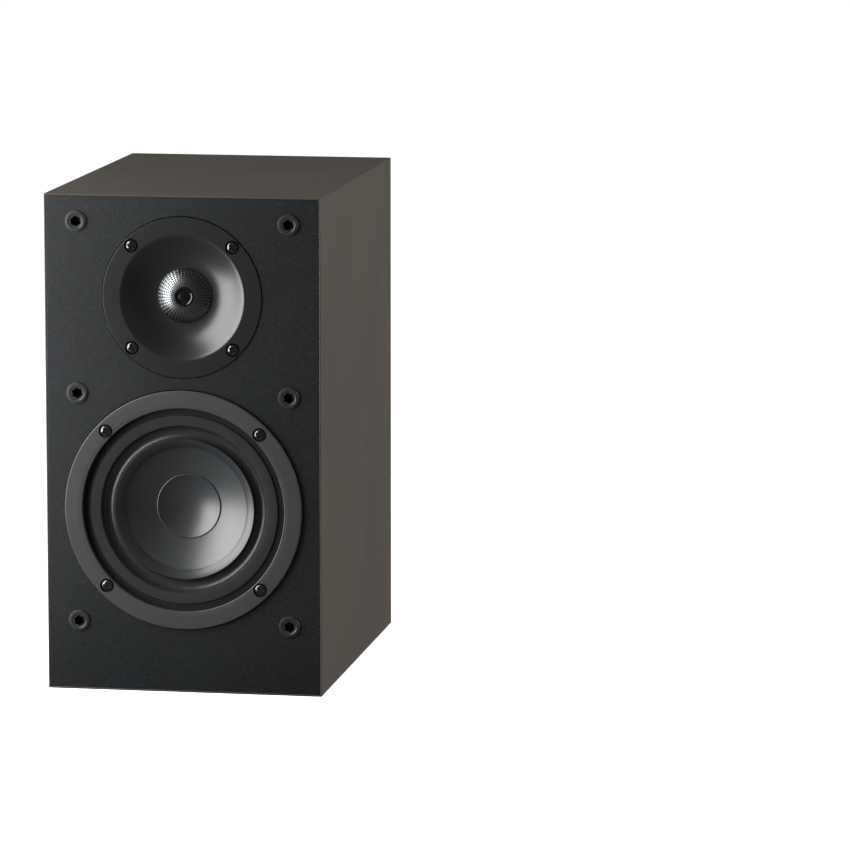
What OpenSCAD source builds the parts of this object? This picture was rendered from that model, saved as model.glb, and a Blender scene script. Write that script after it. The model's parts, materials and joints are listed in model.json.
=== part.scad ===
/* [Cabinet] */
// Width of the cabinet
cabinet_w = 165; // [150:1:240]
// Height of the cabinet
cabinet_h = 295; // [270:1:380]
// Depth of the cabinet, front face to rear face
cabinet_d = 235; // [190:1:320]
// Thickness of the top, bottom and side boards
board_t = 14; // [9:0.5:18]
// Thickness of the front baffle
baffle_t = 18; // [15:0.5:22]
// Thickness of the rear board
rear_t = 14; // [12:0.5:18]
// Width of the wrapped lip that shows around the baffle and the rear board
lip_t = 1.2; // [0.8:0.1:2]
// Thickness of the window brace between the drivers
brace_t = 12; // [9:0.5:15]

/* [Woofer] */
// Height of the woofer's centre above the base
woofer_z = 109.2; // [85:0.1:140]
// Radius of the woofer's trim ring
woofer_r = 71.1; // [66:0.1:72]
// Radius of the woofer's screw circle
woofer_screw_r = 65.2; // [64.6:0.1:66]
// Radius of the cone at its rim
cone_r = 41.5; // [38:0.1:42.5]
// Radius of the voice coil's former
coil_r = 13; // [10.8:0.1:14]
// Radius of the woofer's magnet
magnet_r = 40; // [36:0.5:45]
// Cone travel to each side of rest
cone_travel = 4; // [2:0.5:5]

/* [Tweeter] */
// Height of the tweeter's centre above the base
tweeter_z = 235.1; // [228:0.1:300]
// Radius of the tweeter's faceplate
tweeter_r = 47.5; // [47:0.1:52]
// Radius of the tweeter's screw circle
tweeter_screw_r = 42.65; // [42:0.05:43]
// Radius of the waveguide where it meets the flat flange
guide_r = 36.5; // [32:0.5:37]
// Radius of the waveguide's throat
throat_r = 16.4; // [15.5:0.1:18]
// Radius of the tweeter's magnet
tweeter_magnet_r = 34; // [28:0.5:36]

/* [Grille] */
// Width of the grille
grille_w = 158; // [140:1:230]
// Height of the grille
grille_h = 281; // [262:1:370]
// Thickness of the grille with its cloth
grille_t = 11; // [9:0.5:14]
// Height of the fitted grille's lower edge above the base
grille_foot = 12.5; // [8:0.5:20]
// Spacing of the grille's sockets across the baffle
socket_w = 126.7; // [120:0.1:134]
// Height of the lowest sockets above the base
socket_low = 41.4; // [36:0.1:60]
// Height of the middle sockets above the base
socket_mid = 177.35; // [176:0.05:200]
// Height of the highest sockets above the base
socket_high = 279; // [262:0.5:285]
// Radius of the hole in each socket
socket_r = 3; // [2.6:0.1:3.4]
// Depth of the hole in each socket
socket_depth = 10.5; // [9:0.5:14]

/* [Rear panel] */
// Height of the port's centre above the base
port_z = 222; // [160:1:300]
// Inner radius of the port
port_r = 20; // [15:0.5:24]
// Length of the port
port_l = 95; // [60:1:120]
// Height of the terminal cup's centre above the base
cup_z = 84; // [60:1:110]
// Width of the terminal cup's plate
cup_w = 92; // [80:1:110]
// Height of the terminal cup's plate
cup_h = 66; // [56:1:80]
// Depth of the terminal cup
cup_depth = 17; // [12:0.5:22]
// Spacing of the two binding posts
post_gap = 32; // [24:0.5:38]
// Radius of a banana plug's hole in a binding post
banana_r = 2; // [1.9:0.05:2.1]

/* [Hidden] */
$fn = 96;

eps = 0.01;
front_y = -cabinet_d / 2;
rear_y = cabinet_d / 2;
inner_front = front_y + baffle_t;
inner_rear = rear_y - rear_t;
inner_x = cabinet_w / 2 - board_t;

// Woofer section: radius, and height in front of the baffle's face
trim_h = 2;
trim_inner = woofer_r - 10.5;
seat_depth = 5;
seat_gap = 0.4;
gasket_t = 1;
flange_t = 2;
flange_r = woofer_r - 1;
flange_top = -seat_depth + gasket_t + flange_t;
basket_r = trim_inner - 2.6;
basket_wall = 1.6;
basket_depth = 38;
basket_foot_r = magnet_r + 6;
woofer_hole_r = basket_r + 2.2;
surround_out = trim_inner - 4.3;
trough_out = cone_r + 8.4;
trough_in = cone_r + 0.2;
trough_deep = 4.2;
trough_wall = 0.6;
surround_t = 0.8;
flat_top = flange_top + surround_t;
rim_z = -2.5;
cone_t = 0.8;
cone_edge_r = trough_in - trough_wall;
cone_mid_r = cone_r - 4.8;
cone_mid_z = -5.5;
cap_r = cone_r - 22.2;
cap_seat = 1.5;
cap_z = -15.9;
neck_z = -21;
cap_dish = 4;
cap_t = 0.5;
gap_side = 0.5;
winding_t = 0.8;
former_t = 0.25;
pole_r = coil_r - gap_side;
plate_hole_r = coil_r + former_t + winding_t + gap_side;
plate_t = 6;
magnet_t = 15;
yoke_t = 6;
plate_back = -basket_depth - plate_t;
magnet_back = plate_back - magnet_t;
spider_z = -28;
spider_r = 34;
spider_wave = 1.1;
spider_rings = 4;
window_count = 6;
window_deg = 38;

// Tweeter section
face_proud = 0.6;
face_t = 3;
face_seat = 4;
guide_depth = 10;
guide_t = 2.2;
guard_r = throat_r;
guard_mid_r = 5.4;
guard_rise = 4.6;
guard_t = 0.8;
guard_holes = 20;
guard_rows = 2;
guard_hole_r = 0.8;
dome_r = 12.4;
dome_rise = 4.2;
dome_z = -16.4;
dome_skirt = 0.8;
dome_t = 0.4;
dome_travel = 0.5;
suspension_t = 0.4;
suspension_out = 18;
suspension_roll = 3.2;
tweeter_gap = 0.4;
tweeter_plate_z = -17;
tweeter_plate_t = 4;
tweeter_magnet_t = 10;
tweeter_yoke_t = 4;
chamber_l = 16;
chamber_r = 27;
tweeter_hole_r = tweeter_magnet_r + 3;

// Screws
screw_shank_r = 1.75;
screw_head_r = 3.5;
screw_head_h = 2.2;
screw_l = 16;
head_recess_r = 4.2;
pilot_gap = 0.05;
cross_w = 1.1;
cross_l = 4.2;
cross_depth = 1.3;

// Sockets and pegs
socket_flange_r = 6.3;
socket_flange_h = 1.1;
socket_body_r = 5;
peg_gap = 0.4;
peg_l = 9.5;
peg_r = socket_r - peg_gap;
socket_zs = [socket_low, socket_mid, socket_high];

// Rear panel pieces
port_wall = 2.2;
flare_r = port_r + 9;
flare_l = 12;
flange_lip = 4;
port_flange_t = 2;
cup_corner = 6;
cup_flange_t = 2.5;
cup_wall = 2.5;
tray_w = cup_w - 20;
tray_h = cup_h - 20;
tray_gap = 0.5;
cup_gasket_t = 1;
cup_top = cup_gasket_t + cup_flange_t;
tray_floor = cup_top - cup_depth;
cup_screw_x = cup_w / 2 - 5;
cup_screw_z = cup_h / 2 - 5;
stud_r = 3;
cap_lift = 2.5;
stud_in = 14;
banana_l = 16;
post_ring_r = 8.5;
post_ring_t = 3;
post_cap_r = 7.6;
post_cap_l = 15;
stud_out = post_ring_t + cap_lift + post_cap_l + 0.5;
cap_play = 0.08;
cap_flutes = 18;
flute_r = 0.7;
hex_r = 5.2;
hex_t = 3;

// Crossover
pcb_w = 84;
pcb_h = 60;
pcb_t = 1.6;
pcb_y = rear_y - (cup_depth - cup_top) - stud_in - 8;
standoff_r = 3;

// Grille, stored on its edge against the left side
grille_gap = 0.3;
grille_back = 3;
cloth_t = 0.8;
frame_bar = 20;
frame_t = grille_t - cloth_t;
foot_corner = 16;
head_corner = 3;
cloth_round = 3;
store_x = -cabinet_w / 2 - grille_gap - peg_l;
store_y = 51.5;
grille_mid_z = grille_foot + grille_h / 2;
badge_w = 29;
badge_h = 12.5;
badge_t = 1.6;
badge_z = socket_low;

// Faces the viewer: local X right, Y up, Z out of the front
module on_front(z) {
    translate([0, front_y, z]) rotate([90, 0, 0]) children();
}

// Faces the rear: local X right from behind, Y up, Z out of the back
module on_rear(z) {
    translate([0, rear_y, z]) rotate([90, 0, 180]) children();
}

module ring(r_out, r_in, z_low, z_high) {
    translate([0, 0, z_low]) difference() {
        cylinder(r = r_out, h = z_high - z_low);
        translate([0, 0, -1]) cylinder(r = r_in, h = z_high - z_low + 2);
    }
}

module around(r, first = 45, count = 4) {
    for (i = [0 : count - 1])
        rotate([0, 0, first + i * 360 / count]) translate([r, 0, 0]) children();
}

module plate(w, h, corner, t) {
    linear_extrude(height = t) offset(r = corner)
        square([w - 2 * corner, h - 2 * corner], center = true);
}

// Rounded plate with true arcs, drawn from a cross and four discs
module exact_plate(w, h, corner, t) {
    linear_extrude(height = t) {
        square([w - 2 * corner, h], center = true);
        square([w, h - 2 * corner], center = true);
        for (sx = [-1, 1], sy = [-1, 1])
            translate([sx * (w / 2 - corner), sy * (h / 2 - corner)])
                circle(r = corner);
    }
}

// ---------------------------------------------------------------- cabinet

// Mitred board along one wall: side 0 top, 1 left, 2 bottom, 3 right
module mitred_board(side) {
    wide = side % 2 == 0 ? cabinet_w : cabinet_h;
    high = side % 2 == 0 ? cabinet_h : cabinet_w;
    module stretch(t, y_low, y_high) {
        rotate([0, -90 * side, 0]) translate([0, y_high, 0]) rotate([90, 0, 0])
            linear_extrude(height = y_high - y_low)
                polygon([[-wide / 2, high / 2], [wide / 2, high / 2],
                    [wide / 2 - t, high / 2 - t], [-wide / 2 + t, high / 2 - t]]);
    }
    translate([0, 0, cabinet_h / 2]) {
        stretch(lip_t, front_y, inner_front);
        stretch(board_t, inner_front, inner_rear);
        stretch(lip_t, inner_rear, rear_y);
    }
}

module top_panel() {
    color("#4b4a47") mitred_board(0);
}

module bottom_panel() {
    color("#4b4a47") mitred_board(2);
}

module left_side_panel() {
    color("#575450") mitred_board(1);
}

module right_side_panel() {
    color("#575450") mitred_board(3);
}

module inset_board(t) {
    translate([0, 0, cabinet_h / 2]) rotate([90, 0, 0])
        linear_extrude(height = t)
            square([cabinet_w - 2 * lip_t, cabinet_h - 2 * lip_t], center = true);
}

module front_baffle() {
    color("#33383c") difference() {
        translate([0, inner_front, 0]) inset_board(baffle_t);
        on_front(woofer_z) {
            translate([0, 0, -seat_depth]) cylinder(r = woofer_r + seat_gap, h = seat_depth + 1);
            translate([0, 0, -baffle_t - 1]) cylinder(r = woofer_hole_r, h = baffle_t + 2);
            around(woofer_screw_r) pilot_hole(-seat_depth);
        }
        on_front(tweeter_z) {
            translate([0, 0, -face_seat]) cylinder(r = tweeter_r + seat_gap, h = face_seat + 1);
            translate([0, 0, -baffle_t - 1]) cylinder(r = tweeter_hole_r, h = baffle_t + 2);
            around(tweeter_screw_r) pilot_hole(-face_seat);
        }
        at_sockets() translate([0, 0, -socket_depth - 1.5])
            cylinder(r = socket_body_r, h = socket_depth + 3);
    }
}

module pilot_hole(z_top) {
    translate([0, 0, z_top - screw_l + 4])
        cylinder(r = screw_shank_r + pilot_gap, h = screw_l, $fn = 32);
}

module rear_panel() {
    color("#3f3d3a") difference() {
        translate([0, rear_y, 0]) inset_board(rear_t);
        on_rear(port_z) translate([0, 0, -rear_t - 1]) cylinder(r = flare_r, h = rear_t + 2);
        on_rear(cup_z) {
            translate([0, 0, -rear_t - 1])
                exact_plate(tray_w + 2 * (cup_wall + tray_gap), tray_h + 2 * (cup_wall + tray_gap),
                    cup_corner, rear_t + 2);
            at_cup_screws() translate([0, 0, -rear_t + 2])
                cylinder(r = screw_shank_r + pilot_gap, h = rear_t, $fn = 32);
        }
    }
}

module window_brace() {
    window_w = 2 * inner_x - 44;
    window_l = (inner_rear - inner_front) - 60;
    brace_z = (socket_mid + woofer_z + woofer_r) / 2;
    color("#b08d5e") difference() {
        translate([-inner_x, inner_front, brace_z - brace_t / 2])
            cube([2 * inner_x, inner_rear - inner_front, brace_t]);
        translate([0, (inner_front + inner_rear) / 2, brace_z - brace_t / 2 - 1])
            exact_plate(window_w, window_l, 12, brace_t + 2);
    }
}

module at_sockets() {
    for (z = socket_zs, sx = [-1, 1])
        on_front(z) translate([sx * socket_w / 2, 0, 0]) children();
}

module grille_sockets() {
    color("#2b2c2e") at_sockets() difference() {
        rotate_extrude() polygon([[0, -socket_depth - 1.5], [socket_body_r, -socket_depth - 1.5],
            [socket_body_r, 0], [socket_flange_r, 0], [socket_flange_r, socket_flange_h - 0.5],
            [socket_flange_r - 0.5, socket_flange_h], [0, socket_flange_h]]);
        translate([0, 0, socket_flange_h - socket_depth])
            cylinder(r = socket_r, h = socket_depth + 1);
    }
}

// Fibre pads stapled to the inner walls
module damping_pad(x_low, x_high, y_low, y_high, z_low, z_high) {
    translate([x_low, y_low, z_low]) cube([x_high - x_low, y_high - y_low, z_high - z_low]);
}

damping_t = 7;
damping_front = inner_front + 25;
damping_rear = inner_rear - 12;
damping_low = board_t + 12;
damping_high = woofer_z + 50;

module damping_left() {
    color("#d8d4c8") damping_pad(-inner_x , -inner_x  + damping_t,
        damping_front, damping_rear, damping_low, damping_high);
}

module damping_right() {
    color("#d8d4c8") damping_pad(inner_x - damping_t, inner_x,
        damping_front, damping_rear, damping_low, damping_high);
}

module damping_top() {
    color("#d8d4c8") damping_pad(-inner_x + 10, inner_x - 10, damping_front, damping_rear,
        cabinet_h - board_t - damping_t, cabinet_h - board_t);
}

// ----------------------------------------------------------------- screws

// Pan-head cross-recess screw: origin under the head, pointing in
module pan_screw(length) {
    difference() {
        union() {
            translate([0, 0, -length]) cylinder(r = screw_shank_r, h = length + eps, $fn = 32);
            rotate_extrude($fn = 48) polygon([[0, 0], [screw_head_r, 0], [screw_head_r, 0.8],
                [screw_head_r - 0.5, 1.5], [screw_head_r - 1.3, 2], [screw_head_r - 2, screw_head_h],
                [0, screw_head_h]]);
        }
        for (turn = [0, 90]) rotate([0, 0, turn])
            translate([-cross_l / 2, -cross_w / 2, screw_head_h - cross_depth])
                cube([cross_l, cross_w, cross_depth + 1]);
    }
}

woofer_screw_z = trim_h - 1.8;
tweeter_screw_z = face_proud - 1.8;

module woofer_screws() {
    color("#1d1e20") on_front(woofer_z) around(woofer_screw_r)
        translate([0, 0, woofer_screw_z]) pan_screw(screw_l);
}

module tweeter_screws() {
    color("#1d1e20") on_front(tweeter_z) around(tweeter_screw_r)
        translate([0, 0, tweeter_screw_z]) pan_screw(screw_l - 2);
}

// ----------------------------------------------------------------- woofer

module woofer_trim_ring() {
    edge = 0.8;
    color("#3c4043") on_front(woofer_z) difference() {
        rotate_extrude($fn = 128) polygon([[woofer_r, flange_top], [woofer_r, trim_h - edge],
            [woofer_r - edge * 0.3, trim_h - edge * 0.3], [woofer_r - edge, trim_h],
            [trim_inner + edge, trim_h], [trim_inner, trim_h - edge * 0.6],
            [trim_inner, flange_top]]);
        around(woofer_screw_r) {
            translate([0, 0, woofer_screw_z]) cylinder(r = head_recess_r, h = 4);
            translate([0, 0, flange_top - 1]) cylinder(r = screw_shank_r + pilot_gap, h = 6, $fn = 32);
        }
    }
}

module woofer_gasket() {
    color("#232323") on_front(woofer_z) difference() {
        ring(flange_r, woofer_hole_r + 1, -seat_depth, -seat_depth + gasket_t);
        around(woofer_screw_r) translate([0, 0, -seat_depth - 1])
            cylinder(r = screw_shank_r + pilot_gap, h = 4, $fn = 32);
    }
}

// Radius of the basket's outer wall at a height
function basket_wall_r(z) = basket_foot_r + (basket_r - basket_foot_r)
    * (z + basket_depth - 3) / (basket_depth - 3 - seat_depth + gasket_t);

module woofer_basket() {
    flange_low = -seat_depth + gasket_t;
    shelf_z = spider_z + 2;
    shelf_t = 1.5;
    color("#2f3133") on_front(woofer_z) difference() {
        rotate_extrude() polygon([[flange_r, flange_low], [flange_r, flange_top],
            [surround_out - 5, flange_top], [surround_out - 5, flange_low],
            [basket_r - basket_wall, flange_low], [basket_wall_r(shelf_z) - basket_wall, shelf_z],
            [spider_r, shelf_z], [spider_r, shelf_z - shelf_t],
            [basket_wall_r(shelf_z - shelf_t) - basket_wall, shelf_z - shelf_t],
            [basket_foot_r - basket_wall, 2 - basket_depth], [plate_hole_r + 1.5, 2 - basket_depth],
            [plate_hole_r + 1.5, -basket_depth], [basket_foot_r, -basket_depth],
            [basket_foot_r, 3 - basket_depth], [basket_r, flange_low]]);
        around(woofer_screw_r) translate([0, 0, flange_low - 1])
            cylinder(r = screw_shank_r + pilot_gap, h = 6, $fn = 32);
        basket_windows(spider_z + 5, flange_low - 2, window_deg);
        basket_windows(4 - basket_depth, shelf_z - shelf_t - 1.5, window_deg / 2);
    }
}

module basket_windows(z_low, z_high, wide) {
    reach = basket_r + 20;
    around(0, 0, window_count) translate([0, 0, z_low]) linear_extrude(height = z_high - z_low)
        polygon([[0, 0], [reach, -reach * tan(wide / 2)], [reach, reach * tan(wide / 2)]]);
}

module woofer_surround() {
    mid = (trough_out + trough_in) / 2;
    half = (trough_out - trough_in) / 2;
    steps = 12;
    function base(i) = flat_top + (rim_z - flat_top) * i / steps;
    function upper(i) = [mid + half * cos(180 * i / steps),
        base(i) - trough_deep * sin(180 * i / steps)];
    function lower(i) = [mid + (half + trough_wall) * cos(180 * i / steps),
        base(i) - surround_t - trough_deep * sin(180 * i / steps)];
    color("#27292b") on_front(woofer_z) rotate_extrude($fn = 128) polygon(concat(
        [[surround_out, flange_top], [surround_out, flat_top]],
        [for (i = [0 : steps]) upper(i)],
        [[cone_mid_r, cone_mid_z], [cone_mid_r, cone_mid_z - surround_t]],
        [for (i = [steps : -1 : 0]) lower(i)]));
}

// The cone's face, from its rim to its neck
function cone_face(drop) = [[cone_edge_r, rim_z - surround_t - drop],
    [cone_mid_r, cone_mid_z - surround_t - drop], cone_waist - [0, drop],
    [cap_r - cap_seat, cap_z - drop], [coil_r + former_t, neck_z - drop]];

cone_waist = [(cone_mid_r + cap_r) / 2 - 1, (cone_mid_z + cap_z) / 2 - 1.3];
cap_slope = (cone_waist[1] - cap_z) / (cone_waist[0] - cap_r + cap_seat);

module woofer_cone() {
    face = cone_face(0);
    back = cone_face(cone_t);
    color("#4a4d4f") on_front(woofer_z) rotate_extrude($fn = 128)
        polygon(concat(face, [for (i = [len(back) - 1 : -1 : 0]) back[i]]));
}

module woofer_dust_cap() {
    steps = 8;
    seat_r = cap_r - cap_seat;
    function dish(i) = [seat_r * i / steps, cap_z - cap_dish * (1 - pow(i / steps, 2))];
    edge = [cap_r, cap_z + cap_seat * cap_slope];
    color("#4a4d4f") on_front(woofer_z) rotate_extrude()
        polygon(concat([for (i = [0 : steps]) dish(i)], [edge, edge + [0, cap_t]],
            [for (i = [steps : -1 : 0]) dish(i) + [0, cap_t]]));
}

module woofer_voice_coil() {
    former_low = -basket_depth - plate_t / 2 - 6;
    color("#b9753c") on_front(woofer_z) {
        ring(coil_r + former_t, coil_r, former_low, neck_z + 1);
        ring(coil_r + former_t + winding_t, coil_r + former_t,
            -basket_depth - plate_t / 2 - 5.5, -basket_depth - plate_t / 2 + 5.5);
    }
}

module woofer_spider() {
    steps = spider_rings * 8;
    inner = coil_r + former_t;
    reach = spider_r - 0.5 - inner;
    function wave(i) = [inner + reach * i / steps,
        spider_z + 2 + spider_wave * sin(360 * spider_rings * i / steps)];
    color("#c9a227") on_front(woofer_z) rotate_extrude()
        polygon(concat([for (i = [0 : steps]) wave(i)],
            [[spider_r + 2.4, spider_z + 2], [spider_r + 2.4, spider_z + 2.5]],
            [for (i = [steps : -1 : 0]) wave(i) + [0, 0.5]]));
}

module woofer_top_plate() {
    color("#8d9094") on_front(woofer_z) ring(magnet_r - 1, plate_hole_r, plate_back, -basket_depth);
}

module woofer_magnet() {
    color("#2c2c2e") on_front(woofer_z) ring(magnet_r, coil_r + 8, magnet_back, plate_back);
}

module woofer_pole_plate() {
    vent_r = 4;
    color("#8d9094") on_front(woofer_z) difference() {
        union() {
            translate([0, 0, magnet_back - yoke_t]) cylinder(r = magnet_r - 2, h = yoke_t);
            translate([0, 0, magnet_back - eps]) cylinder(r = pole_r, h = plate_t + magnet_t + eps);
        }
        translate([0, 0, magnet_back - yoke_t - 1])
            cylinder(r = vent_r, h = yoke_t + plate_t + magnet_t + 2);
    }
}

tag_r = magnet_r + 10;
tag_l = 9;

module woofer_tag_strip() {
    color("#8a5a2b") on_front(woofer_z) {
        translate([-9, magnet_r + 0.5, -basket_depth - 1.5]) cube([18, 13, 1.5]);
        for (sx = [-1, 1]) translate([sx * 6 - 1.5, tag_r, -basket_depth - tag_l])
            cube([3, 0.8, tag_l - 1]);
    }
}

// ---------------------------------------------------------------- tweeter

// Height of the waveguide's wall at a radius, from the flange down to the throat
function guide_z(r) = face_proud
    - guide_depth * sin(90 * pow((guide_r - r) / (guide_r - throat_r), 0.9));
function guide_wall(r_from, r_to, drop, steps) = [for (i = [0 : steps])
    let (r = r_from + (r_to - r_from) * i / steps) [r, guide_z(r) - drop]];

module tweeter_faceplate() {
    edge = 0.5;
    skirt_r = tweeter_hole_r - 0.5;
    clamp_z = tweeter_plate_z + suspension_t;
    color("#2c3033") on_front(tweeter_z) difference() {
        rotate_extrude($fn = 128) polygon(concat(
            [[tweeter_r, face_proud - face_t], [tweeter_r, face_proud - edge],
                [tweeter_r - edge, face_proud], [guide_r + 0.5, face_proud]],
            guide_wall(guide_r, throat_r, 0, 14),
            [[throat_r, clamp_z], [suspension_out, clamp_z]],
            guide_wall(suspension_out, skirt_r - 3, guide_t, 10),
            [[skirt_r - 2.5, tweeter_plate_z], [skirt_r, tweeter_plate_z],
                [skirt_r, face_proud - face_t]]));
        around(tweeter_screw_r) {
            translate([0, 0, tweeter_screw_z]) cylinder(r = head_recess_r, h = 4);
            translate([0, 0, face_proud - face_t - 1])
                cylinder(r = screw_shank_r + pilot_gap, h = 6, $fn = 32);
        }
    }
}

module tweeter_gasket() {
    color("#232323") on_front(tweeter_z) difference() {
        ring(tweeter_r - 0.5, tweeter_hole_r + 0.5, -face_seat, face_proud - face_t);
        around(tweeter_screw_r) translate([0, 0, -face_seat - 1])
            cylinder(r = screw_shank_r + pilot_gap, h = 4, $fn = 32);
    }
}

// Height of the guard's dome at a radius
function guard_z(r) = face_proud - guide_depth
    + guard_rise * cos(90 * max(0, r - guard_mid_r) / (guard_r - guard_mid_r));

module tweeter_guard() {
    steps = 8;
    function shell(i) = let (r = guard_mid_r + (guard_r - guard_mid_r) * i / steps) [r, guard_z(r)];
    color("#9a9da0") on_front(tweeter_z) difference() {
        rotate_extrude() polygon(concat([[0, guard_z(0) + 0.4], [guard_mid_r, guard_z(0) + 0.4]],
            [for (i = [0 : steps]) shell(i)], [[guard_r, guard_z(guard_r) - guard_t]],
            [for (i = [steps - 1 : -1 : 0]) shell(i) - [0.2, guard_t]], [[0, guard_z(0) - guard_t]]));
        for (row = [0 : guard_rows - 1])
            around(guard_mid_r + 3 + row * 4, row * 180 / guard_holes, guard_holes)
                translate([0, 0, -14]) cylinder(r = guard_hole_r, h = 14, $fn = 16);
    }
}

module tweeter_dome() {
    steps = 8;
    function cap(i) = [dome_r * i / steps, dome_z + dome_rise * (1 - pow(i / steps, 2))];
    inner = dome_r - 0.5;
    color("#b5b7ba") on_front(tweeter_z) rotate_extrude()
        polygon(concat([for (i = [0 : steps]) cap(i)],
            [[dome_r, dome_z - dome_skirt], [inner, dome_z - dome_skirt], [inner, dome_z - dome_t]],
            [for (i = [steps - 1 : -1 : 0]) cap(i) - [0, dome_t]]));
}

module tweeter_suspension() {
    half = suspension_roll / 2;
    steps = 6;
    low = tweeter_plate_z;
    function roll(i, swell) = [dome_r + half - (half - swell) * cos(180 * i / steps) - swell,
        dome_z - dome_t + (half - 0.2 + swell) * sin(180 * i / steps)];
    color("#33302c") on_front(tweeter_z) rotate_extrude() polygon(concat(
        [[dome_r, dome_z - dome_t], [dome_r, dome_z]],
        [for (i = [1 : steps - 1]) roll(i, 0) + [0, suspension_t]],
        [[dome_r + suspension_roll, low + suspension_t], [suspension_out, low + suspension_t],
            [suspension_out, low], [dome_r + suspension_roll - suspension_t, low]],
        [for (i = [steps - 1 : -1 : 1]) roll(i, 0)]));
}

module tweeter_voice_coil() {
    color("#b9753c") on_front(tweeter_z)
        ring(dome_r, dome_r - 0.5, tweeter_plate_z - tweeter_plate_t + 1, dome_z - dome_skirt);
}

module tweeter_top_plate() {
    color("#8d9094") on_front(tweeter_z)
        ring(tweeter_hole_r - 0.8, dome_r + tweeter_gap, tweeter_plate_z - tweeter_plate_t,
            tweeter_plate_z);
}

module tweeter_magnet() {
    magnet_low = tweeter_plate_z - tweeter_plate_t - tweeter_magnet_t;
    color("#2c2c2e") on_front(tweeter_z)
        ring(tweeter_magnet_r, dome_r + 6, magnet_low, magnet_low + tweeter_magnet_t);
}

module tweeter_pole_plate() {
    yoke_top = tweeter_plate_z - tweeter_plate_t - tweeter_magnet_t;
    color("#8d9094") on_front(tweeter_z) difference() {
        union() {
            translate([0, 0, yoke_top - tweeter_yoke_t])
                cylinder(r = tweeter_magnet_r - 2, h = tweeter_yoke_t);
            translate([0, 0, yoke_top - eps])
                cylinder(r = dome_r - 0.5 - tweeter_gap,
                    h = tweeter_plate_t + tweeter_magnet_t + eps);
        }
        translate([0, 0, yoke_top - tweeter_yoke_t - 1]) cylinder(r = 5, h = 40);
    }
}

module tweeter_rear_chamber() {
    chamber_top = tweeter_plate_z - tweeter_plate_t - tweeter_magnet_t - tweeter_yoke_t;
    color("#1f2022") on_front(tweeter_z) difference() {
        translate([0, 0, chamber_top - chamber_l]) cylinder(r = chamber_r, h = chamber_l);
        translate([0, 0, chamber_top - chamber_l + 2]) cylinder(r = chamber_r - 2, h = chamber_l);
    }
}

// ------------------------------------------------------------- rear panel

module port_tube() {
    steps = 10;
    low = port_flange_t - port_l;
    function flare(i, wall, top) = let (a = 90 * i / steps)
        [port_r + wall + (flare_r - port_r - wall) * (1 - cos(a)), top - flare_l * (1 - sin(a))];
    color("#1f2022") on_rear(port_z) rotate_extrude() polygon(concat(
        [[port_r, low]], [for (i = [0 : steps]) flare(i, 0, port_flange_t)],
        [[flare_r + flange_lip - 0.6, port_flange_t], [flare_r + flange_lip, port_flange_t - 0.6],
            [flare_r + flange_lip, 0]],
        [for (i = [steps : -1 : 0]) flare(i, port_wall, 0)], [[port_r + port_wall, low]]));
}

module at_cup_screws() {
    for (sx = [-1, 1], sz = [-1, 1])
        translate([sx * cup_screw_x, sz * cup_screw_z, 0]) children();
}

module at_posts() {
    for (sx = [-1, 1]) translate([sx * post_gap / 2, 0, 0]) children();
}

module terminal_cup() {
    color("#222325") on_rear(cup_z) difference() {
        union() {
            translate([0, 0, cup_gasket_t]) exact_plate(cup_w, cup_h, cup_corner, cup_flange_t);
            translate([0, 0, tray_floor - cup_wall])
                exact_plate(tray_w + 2 * cup_wall, tray_h + 2 * cup_wall, cup_corner,
                    cup_depth + cup_wall - 1);
        }
        translate([0, 0, tray_floor])
            exact_plate(tray_w, tray_h, cup_corner - cup_wall, cup_depth + 1);
        at_posts() translate([0, 0, tray_floor - cup_wall - 1])
            cylinder(r = stud_r + pilot_gap, h = cup_wall + 2);
        at_cup_screws() translate([0, 0, cup_gasket_t - 1])
            cylinder(r = screw_shank_r + pilot_gap, h = cup_flange_t + 2, $fn = 32);
    }
}

module terminal_gasket() {
    color("#2e2e2e") on_rear(cup_z) difference() {
        exact_plate(cup_w - 1, cup_h - 1, cup_corner, cup_gasket_t);
        translate([0, 0, -1]) exact_plate(tray_w + 2 * cup_wall + 1, tray_h + 2 * cup_wall + 1,
            cup_corner, cup_gasket_t + 2);
        at_cup_screws() translate([0, 0, -1])
            cylinder(r = screw_shank_r + pilot_gap, h = cup_gasket_t + 2, $fn = 32);
    }
}

module terminal_screws() {
    color("#1d1e20") on_rear(cup_z) at_cup_screws() translate([0, 0, cup_top])
        pan_screw(rear_t + cup_top - 3);
}

module post_studs() {
    color("#c9a24b") on_rear(cup_z) at_posts() translate([0, 0, tray_floor]) difference() {
        translate([0, 0, -stud_in]) cylinder(r = stud_r, h = stud_in + stud_out);
        translate([0, 0, stud_out - banana_l]) cylinder(r = banana_r, h = banana_l + 1);
    }
}

module post_hex_nuts() {
    color("#c9a24b") on_rear(cup_z) at_posts()
        translate([0, 0, tray_floor - cup_wall - hex_t]) difference() {
            cylinder(r = hex_r, h = hex_t, $fn = 6);
            translate([0, 0, -1]) cylinder(r = stud_r, h = hex_t + 2);
        }
}

module post_ring(sx) {
    on_rear(cup_z) translate([sx * post_gap / 2, 0, tray_floor])
        ring(post_ring_r, stud_r, 0, post_ring_t);
}

module post_ring_red() {
    color("#a3241f") post_ring(1);
}

module post_ring_black() {
    color("#202020") post_ring(-1);
}

module post_cap(sx) {
    on_rear(cup_z) translate([sx * post_gap / 2, 0, tray_floor + post_ring_t + cap_lift]) difference() {
        cylinder(r = post_cap_r, h = post_cap_l);
        translate([0, 0, -1]) cylinder(r = stud_r + cap_play, h = post_cap_l + 2);
        around(post_cap_r + flute_r * 0.4, 0, cap_flutes) translate([0, 0, -1])
            cylinder(r = flute_r, h = post_cap_l + 2, $fn = 16);
    }
}

module post_cap_red() {
    color("#a3241f") post_cap(1);
}

module post_cap_black() {
    color("#202020") post_cap(-1);
}

// -------------------------------------------------------------- crossover

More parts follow.
